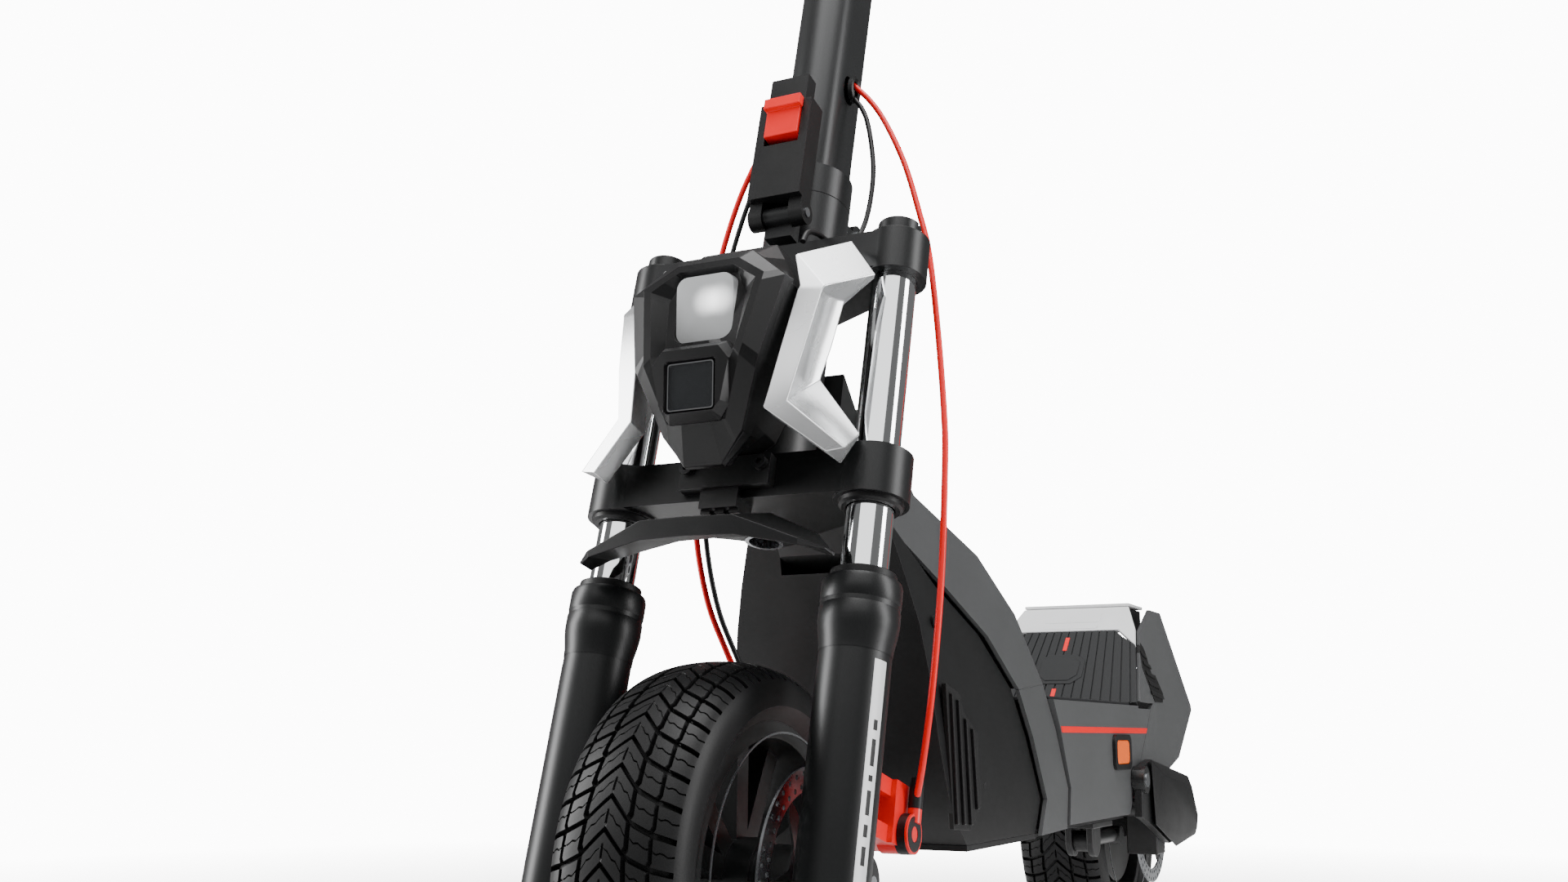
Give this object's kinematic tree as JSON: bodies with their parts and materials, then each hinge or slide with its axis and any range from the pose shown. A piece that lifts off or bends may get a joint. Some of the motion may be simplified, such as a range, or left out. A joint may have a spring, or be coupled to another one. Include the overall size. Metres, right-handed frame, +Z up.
{
  "type": "electric kick scooter",
  "caption": "Folding electric kick scooter with a dual-crown fork, angular headlight, grooved kick plate and fat treaded tyres.",
  "frame": {"origin": "on the ground, midway between the two axles, on the centre plane", "axes": "+X the rider's left, -Y forward, +Z up"},
  "size_m": [0.62, 1.24, 1.2448],
  "materials": {
    "frame_black": "satin black paint",
    "neck_grey": "satin dark grey paint",
    "deck_grey": "satin grey paint",
    "moulded_black": "fine textured black",
    "gloss_black": "gloss black",
    "mat_rubber": "ribbed rubber",
    "seal_rubber": "smooth rubber",
    "tyre_rubber": "treaded tyre",
    "cap_silver": "silver paint",
    "wing_silver": "bead-blasted silver",
    "chrome": "hard chrome",
    "steel": "machined",
    "fork_black": "satin black anodising",
    "stem_grey": "satin charcoal paint",
    "caliper_red": "red anodising",
    "hose_red": "gloss red sleeve",
    "cable_black": "black sleeve",
    "button_red": "satin red",
    "lens_clear": "frosted clear",
    "tail_red": "clear red",
    "amber": "amber reflector",
    "pack_blue": "shrink wrap",
    "grip_rubber": "soft rubber",
    "spring_red": "powder coat"
  },
  "bodies": {
    "chassis": {"neck_frame": "frame_black", "headset_bearings": "steel", "neck_cover": "neck_grey", "front_shroud": "moulded_black", "deck_shell": "deck_grey", "deck_mat": "mat_rubber", "bottom_cover": "moulded_black", "battery_pack": "pack_blue", "controller_box": "steel", "kick_plate": "mat_rubber", "kick_cap": "cap_silver", "rear_side_covers": "deck_grey", "side_reflectors": "amber", "rear_fender": "moulded_black", "tail_light": "tail_red", "kickstand_bracket": "frame_black", "swingarm_pivot_pin": "steel", "rear_springs": "spring_red"},
    "swingarm": {"swingarm": "frame_black", "swingarm_covers": "moulded_black", "rear_axle": "steel", "rear_caliper": "caliper_red"},
    "rear_wheel": {"rear_tyre": "tyre_rubber", "rear_hub_motor": "frame_black", "rear_rotor": "steel"},
    "steering": {"lower_crown": "fork_black", "upper_crown": "fork_black", "steerer_tube": "steel", "stem_base": "stem_grey", "hinge_pins": "steel", "stanchions": "chrome", "fork_caps": "fork_black", "headlight_housing": "moulded_black", "headlight_bezel": "gloss_black", "headlight_lens": "lens_clear", "lower_lens": "lens_clear", "side_wings": "wing_silver", "beak_fender": "moulded_black", "lamp_bracket": "frame_black", "front_hose": "hose_red", "rear_hose": "hose_red", "wiring_cables": "cable_black"},
    "stem": {"stem_tube": "stem_grey", "handlebar": "stem_grey", "display": "gloss_black", "grips": "grip_rubber", "lever_perches": "frame_black"},
    "brake_lever_left": {"brake_lever_left": "frame_black"},
    "brake_lever_right": {"brake_lever_right": "frame_black"},
    "throttle": {"throttle": "button_red"},
    "latch": {"latch_lever": "moulded_black"},
    "latch_slider": {"latch_slider": "button_red"},
    "fork_lowers": {"fork_legs": "fork_black", "dust_seals": "seal_rubber", "front_axle": "steel", "front_caliper": "caliper_red"},
    "front_wheel": {"front_tyre": "tyre_rubber", "front_rim": "frame_black", "front_rotor": "steel"},
    "kickstand": {"kickstand_leg": "frame_black"}
  },
  "joints": [
    {"name": "steering_turn", "type": "hinge", "parent": "chassis", "child": "steering", "pos_m": [0, -0.37497, 0.50966], "axis": [0, 0.2554, 0.9668], "range_deg": [-45, 45], "deforming": ["rear_hose", "wiring_cables"]},
    {"name": "stem_fold", "type": "hinge", "parent": "steering", "child": "stem", "pos_m": [0, -0.28388, 0.6759], "axis": [-1, 0, 0], "range_deg": [0, 112], "deforming": ["front_hose", "rear_hose", "wiring_cables"]},
    {"name": "latch_open", "type": "hinge", "parent": "steering", "child": "latch", "pos_m": [0, -0.3821, 0.66669], "axis": [1, 0, 0], "range_deg": [0, 80]},
    {"name": "latch_slide", "type": "slide", "parent": "latch", "child": "latch_slider", "axis": [0, -0.2554, -0.9668], "range_m": [0, 0.006], "stiffness_N_per_m": 400, "springref_m": -0.004},
    {"name": "fork_slide", "type": "slide", "parent": "steering", "child": "fork_lowers", "axis": [0, 0.2554, 0.9668], "range_m": [0, 0.045], "stiffness_N_per_m": 6000, "springref_m": -0.045, "deforming": ["front_hose"]},
    {"name": "front_wheel_spin", "type": "hinge", "parent": "fork_lowers", "child": "front_wheel", "pos_m": [0, -0.47, 0.15], "axis": [1, 0, 0], "continuous": true},
    {"name": "swingarm_travel", "type": "hinge", "parent": "chassis", "child": "swingarm", "pos_m": [0, 0.295, 0.2], "axis": [1, 0, 0], "range_deg": [0, 8], "stiffness_Nm_per_rad": 450, "springref_deg": -9.17, "deforming": ["rear_springs"]},
    {"name": "rear_wheel_spin", "type": "hinge", "parent": "swingarm", "child": "rear_wheel", "pos_m": [0, 0.47, 0.15], "axis": [1, 0, 0], "continuous": true},
    {"name": "kickstand_swing", "type": "hinge", "parent": "chassis", "child": "kickstand", "pos_m": [0.072, 0.19, 0.138], "axis": [-1, 0, 0], "range_deg": [0, 95]},
    {"name": "brake_pull_left", "type": "hinge", "parent": "stem", "child": "brake_lever_left", "pos_m": [0.16, -0.22765, 1.2082], "axis": [0, 0.2554, 0.9668], "range_deg": [0, 15], "stiffness_Nm_per_rad": 1, "springref_deg": -17.19},
    {"name": "brake_pull_right", "type": "hinge", "parent": "stem", "child": "brake_lever_right", "pos_m": [-0.16, -0.22765, 1.2082], "axis": [0, -0.2554, -0.9668], "range_deg": [0, 15], "stiffness_Nm_per_rad": 1, "springref_deg": -17.19},
    {"name": "throttle_push", "type": "hinge", "parent": "stem", "child": "throttle", "pos_m": [-0.139, -0.19284, 1.199], "axis": [-1, 0, 0], "range_deg": [0, 25], "stiffness_Nm_per_rad": 0.3, "springref_deg": -17.19}
  ]
}
